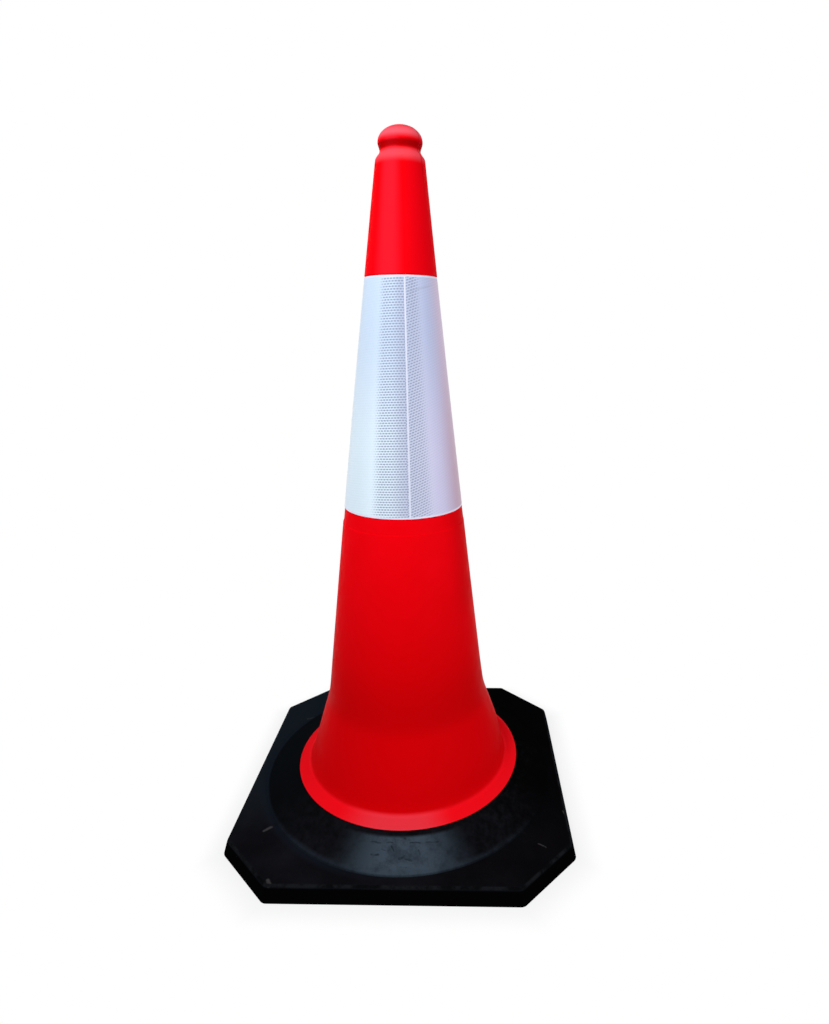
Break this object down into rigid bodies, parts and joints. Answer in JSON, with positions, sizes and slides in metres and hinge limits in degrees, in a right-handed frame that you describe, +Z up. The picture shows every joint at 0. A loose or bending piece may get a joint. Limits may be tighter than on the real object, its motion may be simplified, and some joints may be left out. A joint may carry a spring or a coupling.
{
  "type": "traffic cone",
  "caption": "Tall two-piece traffic cone: thin red conical shell with a bulb head and a deep white collar of two reflective sheets, snapped into a heavy black rubber base with cut corners.",
  "frame": {"origin": "middle of the rubber base's sole, on the floor", "axes": "+Z up along the cone's axis, -Y the side where the front seam of the sheets is, X and Y square to the base's sides"},
  "size_m": [0.5, 0.5, 1],
  "materials": {
    "red_plastic": "satin moulded polyethylene, bright signal red",
    "white_sheet": "smooth white reflective sheet over a honeycomb lattice",
    "black_rubber": "matt moulded recycled rubber with light scuffs"
  },
  "bodies": {
    "root": {"cone_body": "red_plastic", "right_sheet": "white_sheet", "left_sheet": "white_sheet", "rubber_base": "black_rubber"}
  },
  "joints": []
}
